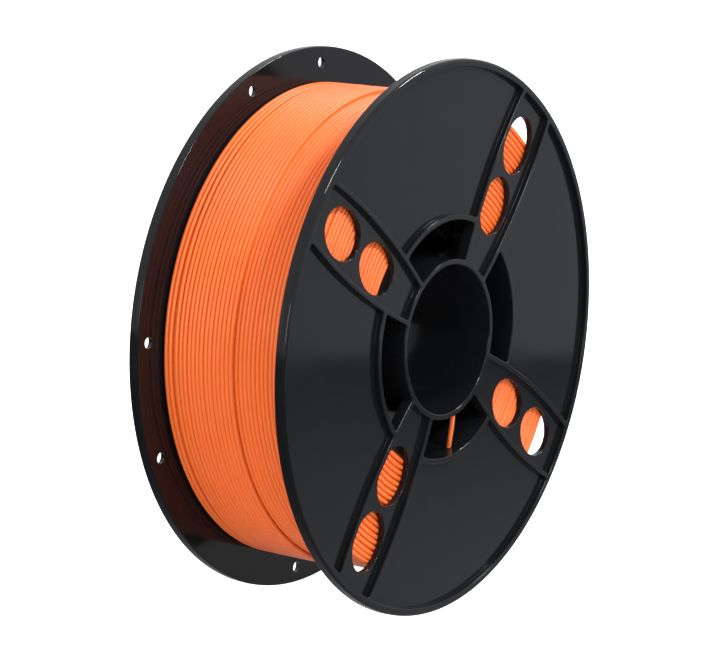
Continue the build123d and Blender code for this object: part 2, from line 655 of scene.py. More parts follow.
@dataclass(frozen=True)
class PaintedTableReflection:
    """Painted reflection: a glowing sheet that only glossy rays see, which paints into the gloss a table
    that darkens to its edge, and a bluish room beyond.

    Args:
        near: painted reflection of the table beside the spool.
        far: painted reflection of the table at its edge, a dark band.
        room: painted reflection of the floor beyond.
        near_end_mm: distance from under the bore up to which the table keeps its near colour.
        edge_mm: distance of the table's edge from under the bore.
        edge_blur_mm: width of the edge's soft change to the room.
        painted_shade_share: painted shade, the share of the glow left on the side away from the lamps.
        turn_mm: where the painted light on the lamps' side begins and ends its rise, along X.
    """

    near: str = "#c9c9cb"
    far: str = "#5f5f62"
    room: str = "#d6d7de"
    near_end_mm: float = 48.0
    edge_mm: float = 400.0
    edge_blur_mm: float = 24.0
    painted_shade_share: float = 0.15
    turn_mm: Point2 = (-150.0, 10.0)

    def build(self) -> bpy.types.Material:
        """Make the material."""
        # painted reflection: an emission-only sheet whose glow is what the black gloss mirrors
        material, tree, shader = new_surface(
            "painted_table_reflection", {"Base Color": (0.0, 0.0, 0.0, 1.0), "Specular IOR Level": 0.0}
        )
        place = add_node(tree, "ShaderNodeTexCoord").outputs["Object"]
        flat = add_node(
            tree, "ShaderNodeVectorMath", {"operation": "MULTIPLY"}, {1: (1.0, 1.0, 0.0)}, {0: place}
        )
        reach = add_node(
            tree, "ShaderNodeVectorMath", {"operation": "LENGTH"}, links={0: flat.outputs[0]}
        )
        widest = 2 * self.edge_mm
        ramp = add_node(
            tree,
            "ShaderNodeMapRange",
            inputs={"From Min": 0.0, "From Max": widest * MM},
            links={"Value": reach.outputs["Value"]},
        )
        bands = add_node(tree, "ShaderNodeValToRGB", links={"Fac": ramp.outputs["Result"]})
        stops = bands.color_ramp.elements
        stops[0].position, stops[0].color = self.near_end_mm / widest, linear(self.near)
        stops[1].position = (self.edge_mm + self.edge_blur_mm) / widest
        stops[1].color = linear(self.room)
        stops.new(self.edge_mm / widest).color = linear(self.far)
        # painted reflection: the glow's colour in bands from near the spool to the table's edge and the
        # room
        tree.links.new(bands.outputs["Color"], shader.inputs["Emission Color"])
        parts = add_node(tree, "ShaderNodeSeparateXYZ", links={"Vector": place})
        # painted shade: the glow is dimmed on the side away from the lamps
        lit = add_node(
            tree,
            "ShaderNodeMapRange",
            {"interpolation_type": "SMOOTHSTEP"},
            {
                "From Min": self.turn_mm[0] * MM,
                "From Max": self.turn_mm[1] * MM,
                "To Min": self.painted_shade_share,
                "To Max": 1.0,
            },
            {"Value": parts.outputs["X"]},
        )
        tree.links.new(lit.outputs["Result"], shader.inputs["Emission Strength"])
        return material


def dress(piece: bpy.types.Object, material: bpy.types.Material, nodes: Sequence[str]) -> None:
    """Give a finished piece its material, hang it under the body and hide the CAD nodes that it stands
    for.

    Args:
        piece: the piece.
        material: its material.
        nodes: CAD nodes that it stands for.
    """
    if not piece.data.materials:
        piece.data.materials.append(material)
    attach(piece, BODY)
    if nodes:
        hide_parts(*nodes)
    triangles = sum(len(p.vertices) - 2 for p in piece.data.polygons)
    log.info("%s: %d triangles", piece.name, triangles)


# ---- the two mouldings -------------------------------------------------------------------------


@dataclass
class HalfSpool:
    """One injection-moulded half: flange with four spokes, half the drum and half the bore sleeve.

    The long edges of a spoke are arcs of bow_radius, and the label field's sizes are those of the
    shallow groove round it.

    Args:
        side: front or rear.
        sight_holes: distances of the oval holes from the axis, along each spoke.
        tie_holes: whether small holes for the strand's end are pierced near the rim.
        label_field: whether a blank label field is marked on the top panel.
    """

    side: Side
    sight_holes: tuple[float, ...]
    tie_holes: bool
    label_field: bool

    spoke_angle: float = 52.75
    spoke_widest_at: float = 73.0
    spoke_half_width: float = 13.1
    bow_radius: float = 210.0
    rib_width: float = 1.7
    rim_width: float = 2.8
    sight_length: float = 22.3
    sight_width: float = 17.4
    rib_height: float = 2.0

    rim_front_round: float = 1.1
    rim_back_round: float = 0.5
    bore_round: float = 0.5
    rib_round: float = 0.36
    foot_fillet: float = 0.1
    hole_round: float = 0.3
    tie_flare: float = 0.7
    plan_fillet: float = 1.1
    seam_chamfer: float = 0.25
    parting_height: float = 1.2
    parting_ridge: float = 0.07
    ridge_half_width: float = 0.14
    label_half_size: Point2 = (22.0, 9.5)
    label_corner: float = 0.8
    label_tilt: float = 8.0
    label_middle: Point2 = (-12.2, 69.5)
    groove_width: float = 0.4
    groove_depth: float = 0.1
    long_step: float = 2.2
    rim_steps: int = 288
    bore_steps: int = 144
    tie_steps: int = 24
    oval_steps: tuple[int, int] = (56, 20)
    free_oval_steps: int = 72

    def __post_init__(self) -> None:
        """Take the main sizes from the CAD nodes."""
        name = self.side.name.lower()
        low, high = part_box(f"{name}_flange")
        ys = sorted(abs(v / MM) for v in (low.y, high.y))
        self.rim_radius = node_radius(f"{name}_flange")
        self.face_height = round(ys[1], 3)
        self.inner_height = round(ys[0], 3)
        self.floor_height = self.face_height - self.rib_height
        self.drum_radius = node_radius(f"{name}_drum")
        self.sleeve_radius = node_radius(f"{name}_bore_sleeve")
        self.bore_radius = mount_sizes("spindle_bore")["r_mm"]
        self.drum_inner = self.drum_radius - (self.sleeve_radius - self.bore_radius)
        self.rim_inner = self.rim_radius - self.rim_width

    def spoke_round(self, turn: float, edge: int, inset: float, opening_inside: bool) -> Round:
        """The circle that a spoke's long edge follows.

        Args:
            turn: the spoke's angle in degrees.
            edge: 1 for the edge towards larger angles, -1 for the other.
            inset: distance in from the spoke's outline.
            opening_inside: whether the opening lies on the spoke.

        Returns:
            The circle.
        """
        c, s = heading(turn)
        across = -edge * (self.bow_radius - self.spoke_half_width)
        centre = (self.spoke_widest_at * c - across * s, self.spoke_widest_at * s + across * c)
        return Round(centre, self.bow_radius - inset, opening_inside)

    def between_spokes(self, outer: float, inner: float) -> Outline:
        """Outline of the opening from one spoke to the next.

        Args:
            outer: radius of its outer side.
            inner: radius of its inner side.

        Returns:
            The outline after the first spoke.
        """
        a, b = self.spoke_angle, self.spoke_angle + 90.0
        out_a, out_b = heading(a), heading(b)
        return rounded_outline(
            [
                ("first", self.spoke_round(a, 1, 0.0, False)),
                ("outer", Round((0.0, 0.0), outer, True)),
                ("second", self.spoke_round(b, -1, 0.0, False)),
                ("inner", Round((0.0, 0.0), inner, False)),
            ],
            [out_a, out_b, out_b, out_a],
            self.plan_fillet,
            self.long_step,
        )

    def tray_outline(self) -> Outline:
        """Outline of the shallow tray on the first spoke."""
        a = self.spoke_angle
        return rounded_outline(
            [
                ("low", self.spoke_round(a, -1, self.rib_width, True)),
                ("outer", Round((0.0, 0.0), self.rim_inner, True)),
                ("high", self.spoke_round(a, 1, self.rib_width, True)),
                ("inner", Round((0.0, 0.0), self.sleeve_radius, False)),
            ],
            [heading(a)] * 4,
            self.plan_fillet,
            self.long_step,
        )

    def sight_outline(self, distance: float) -> Outline:
        """Outline of an oval sight hole on the first spoke.

        Where the oval crosses the drum, points lie exactly on the drum's circle.

        Args:
            distance: of its middle from the axis.

        Returns:
            The outline, with a stretch outside the drum and one over it if they cross.
        """
        half, wide = self.sight_length / 2, self.sight_width / 2

        def reach(t: float) -> float:
            """Distance from the axis at that parameter."""
            return math.hypot(distance + half * math.cos(t), wide * math.sin(t))

        spans: dict[str, tuple[int, int]] = {}
        if distance - half < self.drum_radius:
            low, high = math.pi / 2, math.pi
            for _ in range(60):
                middle = (low + high) / 2
                low, high = (middle, high) if reach(middle) > self.drum_radius else (low, middle)
            bends, crossings = self.oval_steps
            outside = np.linspace(-low, low, bends + 1)
            over = np.linspace(low, 2 * math.pi - low, crossings + 1)[1:-1]
            t = np.concatenate([outside, over])
            spans = {"outside": (0, bends), "over": (bends, bends + crossings - 1)}
        else:
            t = np.linspace(0.0, 2 * math.pi, self.free_oval_steps, endpoint=False)
        local = np.stack([distance + half * np.cos(t), wide * np.sin(t)], 1)
        away = np.stack([np.cos(t) / half, np.sin(t) / wide], 1)
        away /= np.hypot(away[:, 0], away[:, 1])[:, None]
        return Outline(local, away, spans).turned(self.spoke_angle)

    def tie_outlines(self) -> list[Outline]:
        """Outlines of the small holes near the rim, two for each panel."""
        found = []
        for mount in frame["record"]["mounts"]:
            if mount["name"].startswith("tie_hole_pair"):
                middle = Vector(mount["pos_m"]) / MM
                across = Vector((-middle.z, 0.0, middle.x)).normalized() * mount["dims"]["pcd_mm"] / 2
                for place in (middle + across, middle - across):
                    found.append(self.tie_outline(mount, place))
        return found

    def tie_outline(self, mount: dict, place: Vector) -> Outline:
        """Outline of one small round hole."""
        radius = mount["dims"]["hole_r_mm"]
        return circle_outline(radius, self.tie_steps, True, (place.x, place.z))

    def build(self, material: bpy.types.Material) -> bpy.types.Object:
        """Make and dress the moulding.

        Args:
            material: its plastic.

        Returns:
            The piece.
        """
        shell = ShellMesh(self.side)
        panels, windows, trays = (
            [first.turned(90 * k) for k in range(4)]
            for first in (
                self.between_spokes(self.rim_inner, self.drum_radius),
                self.between_spokes(self.drum_inner, self.sleeve_radius),
                self.tray_outline(),
            )
        )
        bore = circle_outline(self.bore_radius, self.bore_steps, True)
        rim = circle_outline(self.rim_radius, self.rim_steps, False)

        self.add_rim(shell, rim)
        self.add_bore(shell, bore)
        openings = [o.offset(self.rib_round) for o in (*panels, *windows, *trays)]
        openings.append(bore.offset(self.bore_round))
        shell.flat(rim.offset(self.rim_front_round), openings, self.face_height, True)

        recess = [
            *edge_round(self.rib_round, self.face_height),
            *foot_round(self.foot_fillet, self.floor_height),
        ]
        for outline in (*panels, *trays):
            shell.wall(outline, recess)
        ties = self.tie_outlines() if self.tie_holes else []
        self.add_panels(shell, panels, ties)
        sights = self.add_trays(shell, trays)
        self.add_hub(shell, windows)
        self.add_inside(shell, rim, sights, ties)

        name = self.side.name.lower()
        piece = shell.finish(f"{name}_half_spool")
        nodes = [f"{name}_flange", f"{name}_drum", f"{name}_bore_sleeve"]
        nodes += [f"{name}_spoke_{k}" for k in range(1, 5)]
        dress(piece, material, nodes)
        return piece

    def add_rim(self, shell: ShellMesh, rim: Outline) -> None:
        """Rounded rim bead with the fine ridge that the mould's parting line leaves.

        Args:
            shell: the moulding.
            rim: the outer circle.
        """
        ridge_at, half = self.inner_height + self.parting_height, self.ridge_half_width
        top = edge_round(self.rim_front_round, self.face_height, 6)
        back = [
            (d, 2 * self.inner_height - h, n, -o)
            for d, h, n, o in reversed(edge_round(self.rim_back_round, self.inner_height, 4))
        ]
        section = [
            *top,
            (0.0, ridge_at + half, -1.0, 0.0),
            (0.0, ridge_at + half, -0.7, 0.7),
            (-self.parting_ridge, ridge_at, -1.0, 0.0),
            (0.0, ridge_at - half, -0.7, -0.7),
            (0.0, ridge_at - half, -1.0, 0.0),
            *back,
        ]
        shell.wall(rim, section)

    def add_bore(self, shell: ShellMesh, bore: Outline) -> None:
        """Bore wall from the rounded mouth to the chamfered joint.

        Args:
            shell: the moulding.
            bore: the bore's circle.
        """
        c = self.seam_chamfer
        mouth = edge_round(self.bore_round, self.face_height, 4)
        shell.wall(bore, [*mouth, (0.0, c, -1.0, 0.0), (0.0, c, -0.7, -0.7), (c, 0.0, -0.7, -0.7)])

    def add_panels(self, shell: ShellMesh, panels: Sequence[Outline], ties: Sequence[Outline]) -> None:
        """Level floors of the four panels, with tie holes and the label field where they have them.

        Args:
            shell: the moulding.
            panels: outlines of the panels.
            ties: outlines of the tie holes.
        """
        for number, panel in enumerate(panels):
            toward = np.array(heading(self.spoke_angle + 45 + 90 * number))
            own = [t for t in ties if t.points.mean(0) @ toward > self.rim_radius * 0.8]
            holes = [t.offset(self.tie_flare) for t in own]
            for tie in own:
                mouth = (self.tie_flare, self.floor_height, -0.95, 0.3)
                shell.wall(tie, [mouth, (0.0, self.inner_height, -0.95, 0.3)])
            if self.label_field and number == 0:
                field_line, wide = self.label_outline(), self.groove_width
                shell.wall(
                    field_line,
                    [
                        (0.0, self.floor_height, 0.3, 0.95),
                        (-wide / 2, self.floor_height - self.groove_depth, 0.0, 1.0),
                        (-wide, self.floor_height, -0.3, 0.95),
                    ],
                )
                holes.append(field_line.offset(0.0))
                shell.flat(field_line.offset(-wide), [], self.floor_height, True)
            shell.flat(panel.offset(-self.foot_fillet), holes, self.floor_height, True)

    def label_outline(self) -> Outline:
        """Rounded rectangle of the blank label field, tilted on the top panel."""
        corner = self.label_corner
        flat_half = np.array(self.label_half_size) - corner
        points, away = [], []
        for sx, sz, start in ((1, 1, 0.0), (-1, 1, 90.0), (-1, -1, 180.0), (1, -1, 270.0)):
            for t in np.radians(start + np.linspace(0.0, 90.0, 5)):
                out = np.array([math.cos(t), math.sin(t)])
                points.append(np.array([sx, sz]) * flat_half + out * corner)
                away.append(out)
        line = Outline(np.array(points), np.array(away)).turned(self.label_tilt)
        line.points = line.points + np.array(self.label_middle)
        return line

    def add_trays(self, shell: ShellMesh, trays: Sequence[Outline]) -> list[list[Outline]]:
        """Tray floors and the walls of their sight holes.

        Args:
            shell: the moulding.
            trays: outlines of the trays.

        Returns:
            For each spoke, the outlines of its sight holes.
        """
        sights = [[self.sight_outline(d).turned(90 * k) for d in self.sight_holes] for k in range(4)]
        for tray, own in zip(trays, sights):
            for oval in own:
                mouth = edge_round(self.hole_round, self.floor_height)
                shell.wall(oval, [*mouth, (0.0, self.inner_height, -1.0, 0.0)])
            holes = [oval.offset(self.hole_round) for oval in own]
            shell.flat(tray.offset(-self.foot_fillet), holes, self.floor_height, True)
        return sights

    def add_hub(self, shell: ShellMesh, windows: Sequence[Outline]) -> None:
        """Windows, the spokes' undersides, and the walls of sleeve and drum down to the joint.

        Args:
            shell: the moulding.
            windows: outlines of the windows between sleeve and drum.
        """
        down = [(0.0, self.inner_height, -1.0, 0.0), (0.0, 0.0, -1.0, 0.0)]
        for window in windows:
            shell.wall(window, [*edge_round(self.rib_round, self.face_height), down[0]])
        drum_line: list[np.ndarray] = []
        sleeve_line: list[np.ndarray] = []
        axis = np.zeros(2)
        for k, window in enumerate(windows):
            after = windows[(k + 1) % 4]
            outer, inner = window.stretch("outer"), window.stretch("inner")[::-1]
            outer_next, inner_next = after.stretch("outer"), after.stretch("inner")[::-1]
            over_drum = arc_points(axis, outer[-1], outer_next[0], self.long_step, 6)
            over_sleeve = arc_points(axis, inner[-1], inner_next[0], self.long_step, 6)
            drum_line += [*outer, *over_drum[1:-1]]
            sleeve_line += [*inner, *over_sleeve[1:-1]]
            # the spoke's underside lies between the far edge of this window and the near edge of the next
            far = self.edge_between(window, "outer", "inner")
            near = self.edge_between(after, "inner", "outer")
            underside = [*far[::-1], *over_drum[1:-1], *near[::-1], *over_sleeve[::-1][1:-1]]
            shell.flat(np.array(underside), [], self.inner_height, False)
        for line, out in ((drum_line, 1.0), (sleeve_line, -1.0)):
            points = np.array(line)
            away = points / np.hypot(points[:, 0], points[:, 1])[:, None] * out
            shell.wall(Outline(points, away), down)
        sleeve_ring = circle_outline(self.bore_radius, self.bore_steps, True).offset(self.seam_chamfer)
        shell.flat(np.array(sleeve_line), [sleeve_ring], 0.0, False)
        self.drum_inner_line = np.array(drum_line)

    @staticmethod
    def edge_between(window: Outline, start: str, end: str) -> np.ndarray:
        """Points of a window from the end of one stretch to the beginning of another, ends included.

        Args:
            window: the window's outline.
            start: stretch that the points follow.
            end: stretch that they lead to.

        Returns:
            The points.
        """
        count = len(window.points)
        first, last = window.spans[start][1], window.spans[end][0]
        if last < first:
            last += count
        return window.points[[i % count for i in range(first, last + 1)]]

    def add_inside(
        self, shell: ShellMesh, rim: Outline, sights: Sequence[Sequence[Outline]], ties: Sequence[Outline]
    ) -> None:
        """Filament side of the flange, the drum's outer wall and its end at the joint.

        Args:
            shell: the moulding.
            rim: the outer circle.
            sights: outlines of the sight holes, spoke by spoke.
            ties: outlines of the tie holes.
        """
        axis = np.zeros(2)
        boundary: list[np.ndarray] = []
        drum_line: list[np.ndarray] = []
        crossing = [own[0] for own in sights]
        for k, oval in enumerate(crossing):
            outside, over = oval.stretch("outside"), oval.stretch("over")
            under = arc_points(axis, outside[0], outside[-1], 1.2, 4)
            following = crossing[(k + 1) % 4].stretch("outside")[0]
            onward = arc_points(axis, outside[-1], following, self.long_step, 8)
            boundary += [*outside, *onward[1:-1]]
            drum_line += [*under, *onward[1:-1]]
            shell.flat(np.array([*under, *over[1:]]), [], self.inner_height, True)
        holes = [np.array(boundary), *[t.points for t in ties]]
        holes += [oval.points for own in sights for oval in own[1:]]
        shell.flat(rim.offset(self.rim_back_round), holes, self.inner_height, False)
        points = np.array(drum_line)
        away = -points / np.hypot(points[:, 0], points[:, 1])[:, None]
        shell.wall(Outline(points, away), [(0.0, self.inner_height, -1.0, 0.0), (0.0, 0.0, -1.0, 0.0)])
        shell.flat(points, [self.drum_inner_line], 0.0, False)


# ---- the wound strand --------------------------------------------------------------------------


class StrandTurns:
    """Geometry Nodes tree that winds one strand in regular turns with small wanderings."""

    lengths = (
        "First Radius",
        "Last Radius",
        "First Y",
        "Travel Y",
        "Strand Radius",
        "Sideways Wander",
        "Radial Wander",
        "Gap",
        "Tuck",
    )
    counts = ("Turns", "Gap After Turn", "Seed")

    def __init__(self) -> None:
        """Build the tree once; each wound layer sets its own sizes."""
        self.tree = bpy.data.node_groups.new("strand_turns", "GeometryNodeTree")
        face = self.tree.interface
        face.new_socket("Geometry", in_out="INPUT", socket_type="NodeSocketGeometry")
        for name in (*self.counts, *self.lengths):
            face.new_socket(name, in_out="INPUT", socket_type="NodeSocketFloat")
        face.new_socket("Points Per Turn", in_out="INPUT", socket_type="NodeSocketInt")
        face.new_socket("Material", in_out="INPUT", socket_type="NodeSocketMaterial")
        face.new_socket("Geometry", in_out="OUTPUT", socket_type="NodeSocketGeometry")
        self.fill()

    def fill(self) -> None:
        """Nodes from the plain spiral to the finished strand."""
        tree = self.tree
        given = add_node(tree, "NodeGroupInput").outputs
        spiral = add_node(
            tree,
            "GeometryNodeCurveSpiral",
            links={
                "Resolution": given["Points Per Turn"],
                "Rotations": given["Turns"],
                "Start Radius": given["First Radius"],
                "End Radius": given["Last Radius"],
                "Height": given["Travel Y"],
            },
        )
        upright = add_node(
            tree,
            "GeometryNodeTransform",
            inputs={"Rotation": (-math.pi / 2, 0.0, 0.0)},
            links={"Geometry": spiral.outputs["Curve"]},
        )
        number = add_node(tree, "GeometryNodeInputIndex").outputs["Index"]
        turn = add_node(
            tree,
            "ShaderNodeMath",
            {"operation": "DIVIDE"},
            links={0: number, 1: given["Points Per Turn"]},
        ).outputs[0]

        # two slow noises along the strand, each with its own lead: one sideways, one in and out
        wanderings = {}
        for name, lead, scale in (("Sideways Wander", 11.3, 1.7), ("Radial Wander", 47.9, 2.3)):
            seeded = add_node(
                tree, "ShaderNodeMath", {"operation": "ADD"}, {1: lead}, {0: given["Seed"]}
            ).outputs[0]
            along = add_node(
                tree, "ShaderNodeMath", {"operation": "ADD"}, links={0: turn, 1: seeded}
            ).outputs[0]
            noise = add_node(
                tree,
                "ShaderNodeTexNoise",
                {"noise_dimensions": "1D"},
                {"Scale": scale, "Detail": 1.0, "Roughness": 0.4},
                {"W": along},
            )
            centred = add_node(
                tree,
                "ShaderNodeMath",
                {"operation": "MULTIPLY_ADD"},
                {1: 4.0, 2: -2.0},
                {0: noise.outputs["Fac"]},
            )
            sized = add_node(
                tree,
                "ShaderNodeMath",
                {"operation": "MULTIPLY"},
                links={0: centred.outputs[0], 1: given[name]},
            )
            wanderings[name] = sized.outputs[0]

        gap_closes = add_node(
            tree, "ShaderNodeMath", {"operation": "ADD"}, {1: 0.35}, {0: given["Gap After Turn"]}
        ).outputs[0]
        past_gap = add_node(
            tree,
            "ShaderNodeMapRange",
            {"interpolation_type": "SMOOTHSTEP"},
            {"To Min": 0.0, "To Max": 1.0},
            {"Value": turn, "From Min": given["Gap After Turn"], "From Max": gap_closes},
        )
        jump = add_node(
            tree,
            "ShaderNodeMath",
            {"operation": "MULTIPLY"},
            links={0: past_gap.outputs["Result"], 1: given["Gap"]},
        )

        # both ends dip under their neighbours over the last quarter turn
        left = add_node(
            tree, "ShaderNodeMath", {"operation": "SUBTRACT"}, links={0: given["Turns"], 1: turn}
        )
        from_end = add_node(
            tree, "ShaderNodeMath", {"operation": "MINIMUM"}, links={0: turn, 1: left.outputs[0]}
        )
        dip = add_node(
            tree,
            "ShaderNodeMapRange",
            {"interpolation_type": "SMOOTHSTEP"},
            {"From Min": 0.0, "From Max": 0.25, "To Min": -1.0, "To Max": 0.0},
            {"Value": from_end.outputs[0]},
        )
        radial = add_node(
            tree,
            "ShaderNodeMath",
            {"operation": "MULTIPLY_ADD"},
            links={0: dip.outputs["Result"], 1: given["Tuck"], 2: wanderings["Radial Wander"]},
        )

        place = add_node(tree, "GeometryNodeInputPosition").outputs["Position"]
        flat = add_node(
            tree, "ShaderNodeVectorMath", {"operation": "MULTIPLY"}, {1: (1.0, 0.0, 1.0)}, {0: place}
        )
        out = add_node(
            tree, "ShaderNodeVectorMath", {"operation": "NORMALIZE"}, links={0: flat.outputs[0]}
        )
        push = add_node(
            tree,
            "ShaderNodeVectorMath",
            {"operation": "SCALE"},
            links={0: out.outputs[0], "Scale": radial.outputs[0]},
        )
        aside = add_node(
            tree,
            "ShaderNodeMath",
            {"operation": "ADD"},
            links={0: wanderings["Sideways Wander"], 1: jump.outputs[0]},
        )
        across = add_node(
            tree, "ShaderNodeMath", {"operation": "ADD"}, links={0: aside.outputs[0], 1: given["First Y"]}
        )
        shift = add_node(tree, "ShaderNodeCombineXYZ", links={"Y": across.outputs[0]})
        offset = add_node(
            tree,
            "ShaderNodeVectorMath",
            {"operation": "ADD"},
            links={0: push.outputs[0], 1: shift.outputs[0]},
        )
        laid = add_node(
            tree,
            "GeometryNodeSetPosition",
            links={"Geometry": upright.outputs["Geometry"], "Offset": offset.outputs[0]},
        )
        section = add_node(
            tree,
            "GeometryNodeCurvePrimitiveCircle",
            inputs={"Resolution": 10},
            links={"Radius": given["Strand Radius"]},
        )
        tube = add_node(
            tree,
            "GeometryNodeCurveToMesh",
            inputs={"Fill Caps": True},
            links={"Curve": laid.outputs["Geometry"], "Profile Curve": section.outputs["Curve"]},
        )
        smooth = add_node(tree, "GeometryNodeSetShadeSmooth", links={"Geometry": tube.outputs["Mesh"]})
        real = add_node(
            tree, "GeometryNodeRealizeInstances", links={"Geometry": smooth.outputs["Geometry"]}
        )
        painted = add_node(
            tree,
            "GeometryNodeSetMaterial",
            links={"Geometry": real.outputs["Geometry"], "Material": given["Material"]},
        )
        add_node(tree, "NodeGroupOutput", links={"Geometry": painted.outputs["Geometry"]})

    def make(self, name: str, values: dict[str, object]) -> bpy.types.Object:
        """Wind one layer and turn it into a plain mesh.

        Args:
            name: the piece's name.
            values: the tree's inputs by name, lengths in metres.

        Returns:
            The piece.
        """
        carrier = put_in_scene(name + "_carrier", bpy.data.meshes.new(name + "_carrier"))
        modifier = carrier.modifiers.new("turns", "NODES")
        modifier.node_group = self.tree
        for item in self.tree.interface.items_tree:
            if item.item_type == "SOCKET" and item.in_out == "INPUT" and item.name in values:
                modifier[item.identifier] = values[item.name]
        return made_plain(carrier, name)


@dataclass
class WoundStrand:
    """About a kilogram of 1.75 mm strand, wound layer on layer between the flanges.

    Args:
        strand: strand diameter, slightly flattened where turns press together.
        pitch: distance from turn to turn.
        gap_turns: turns beside the rear flange that stand apart from the rest.
        gap: width of the space after them.
        layer_pitch: distance between the layer ends that show on the winding's sides.
        points_per_turn: steps round one turn.
        wander: how far a turn strays sideways and in or out.
        end_wander: the same for the layer ends.
        tuck: how far a layer's two ends dip under their neighbours.
        flange_gap: space between the turns and a flange.
        end_gap: space between the layer ends and a flange.
        overlap: how far the layer below runs on under the last one.
        skin: depth of the visible turns before the hidden mass begins, in strand diameters.
        step: where the hidden mass steps up under the last layer's end.
        mass_steps: flat faces round the hidden mass.
    """

    strand: float = 1.78
    pitch: float = 1.79
    gap_turns: float = 2.2
    gap: float = 0.9
    layer_pitch: float = 2.05
    points_per_turn: int = 180
    wander: Point2 = (0.06, 0.07)
    end_wander: Point2 = (0.12, 0.16)
    tuck: float = 1.4
    flange_gap: float = 0.05
    end_gap: float = 0.12
    overlap: float = 2.6
    skin: float = 0.72
    step: Point2 = (0.2, 0.6)
    mass_steps: int = 180

    def __post_init__(self) -> None:
        """Take the winding's sizes from the CAD nodes."""
        low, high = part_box("filament_top_layer")
        self.top_radius = node_radius("filament_top_layer")
        self.top_start, self.top_end = high.y / MM, low.y / MM
        under_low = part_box("filament_winding")[0]
        self.under_radius = node_radius("filament_winding")
        self.front_end = under_low.y / MM
        self.rear_end = self.top_start
        self.drum_radius = node_radius("front_drum")

    def build(self, turns: StrandTurns, material: bpy.types.Material) -> None:
        """Make and dress every part of the winding.

        Args:
            turns: the tree that winds strands.
            material: the strand's plastic.
        """
        r = self.strand / 2

        def wind(name: str, nodes: Sequence[str], **values: float) -> None:
            """One stretch of turns, lengths in millimetres except counts."""
            sizes = {
                "Strand Radius": r,
                "Sideways Wander": self.wander[0],
                "Radial Wander": self.wander[1],
                "Gap After Turn": 1000.0,
                "Gap": 0.0,
                "Tuck": self.tuck,
                **{k.replace("_", " "): v for k, v in values.items()},
            }
            given: dict[str, object] = {
                k: float(v) if k in turns.counts else float(v) * MM for k, v in sizes.items()
            }
            given["Points Per Turn"] = self.points_per_turn
            given["Material"] = material
            dress(turns.make(name, given), material, nodes)

        top_count = (self.top_start - self.top_end - self.gap - r) / self.pitch
        wind(
            "filament_top_turns",
            ["filament_top_layer"],
            Turns=top_count,
            First_Radius=self.top_radius - r,
            Last_Radius=self.top_radius - r,
            First_Y=self.top_start - r - self.flange_gap,
            Travel_Y=-top_count * self.pitch,
            Gap_After_Turn=self.gap_turns,
            Gap=-self.gap,
            Seed=3.0,
        )
        under_from = self.top_end + self.overlap
        under_count = (under_from - self.front_end - r - self.flange_gap) / self.pitch
        wind(
            "filament_under_turns",
            [],
            Turns=under_count,
            First_Radius=self.under_radius - r,
            Last_Radius=self.under_radius - r,
            First_Y=under_from,
            Travel_Y=-under_count * self.pitch,
            Seed=21.0,
        )
        innermost, outermost = self.drum_radius + r * 0.2, self.under_radius - r
        for side, end in ((Side.FRONT, self.front_end), (Side.REAR, self.rear_end)):
            wind(
                f"filament_{side.name.lower()}_layer_ends",
                [],
                Turns=(outermost - innermost) / self.layer_pitch,
                First_Radius=innermost,
                Last_Radius=outermost,
                First_Y=end - side.value * (r + self.end_gap),
                Travel_Y=0.0,
                Sideways_Wander=self.end_wander[0],
                Radial_Wander=self.end_wander[1],
                Tuck=0.0,
                Seed=55.0 + 20 * side.value,
            )
        self.build_mass(material)
        self.build_tail(material)

    def build_mass(self, material: bpy.types.Material) -> None:
        """The layers that stay hidden behind the visible turns, as one ring.

        Args:
            material: the strand's plastic.
        """
        skin = self.strand * self.skin
        inside = self.drum_radius + self.flange_gap
        shape = (
            (inside, self.front_end + skin),
            (self.under_radius - skin, self.front_end + skin),
            (self.under_radius - skin, self.top_end + self.step[0]),
            (self.top_radius - skin, self.top_end + self.step[1]),
            (self.top_radius - skin, self.rear_end - skin),
            (inside, self.rear_end - skin),
        )
        steps = self.mass_steps
        places, faces = [], []
        for i in range(steps):
            t = 2 * math.pi * i / steps
            places += [
                (radius * math.cos(t) * MM, y * MM, radius * math.sin(t) * MM) for radius, y in shape
            ]
        count = len(shape)
        for i in range(steps):
            a, b = i * count, (i + 1) % steps * count
            for k in range(count):
                m = (k + 1) % count
                faces.append((a + k, a + m, b + m, b + k))
        mesh = bpy.data.meshes.new("filament_inner_layers")
        mesh.from_pydata(places, [], faces)
        mesh.update()
        dress(put_in_scene(mesh.name, mesh), material, ["filament_winding"])

    def build_tail(self, material: bpy.types.Material) -> None:
        """The strand's first end, poked inwards through the drum and cut square.

        Args:
            material: the strand's plastic.
        """
        low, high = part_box("filament_start_tail")
        r = self.strand / 2 * MM
        root = Vector((low.x + r, high.y - r, low.z - r))
        tip = Vector((high.x - r, low.y + r, high.z))
        curve = bpy.data.curves.new("tail_line", "CURVE")
        curve.dimensions = "3D"
        curve.bevel_depth = r
        curve.bevel_resolution = 5
        curve.use_fill_caps = True
        line = curve.splines.new("NURBS")
        places = [root, root.lerp(tip, 0.3), root.lerp(tip, 0.7) + Vector((0.25 * MM, 0.0, 0.0)), tip]
        line.points.add(len(places) - 1)
        for point, place in zip(line.points, places):
            point.co = (*place, 1.0)
        line.order_u = 3
        line.use_endpoint_u = True
        piece = made_plain(put_in_scene("tail_carrier", curve), "filament_start_end")
        dress(piece, material, ["filament_start_tail"])


# ---- studio ------------------------------------------------------------------------------------


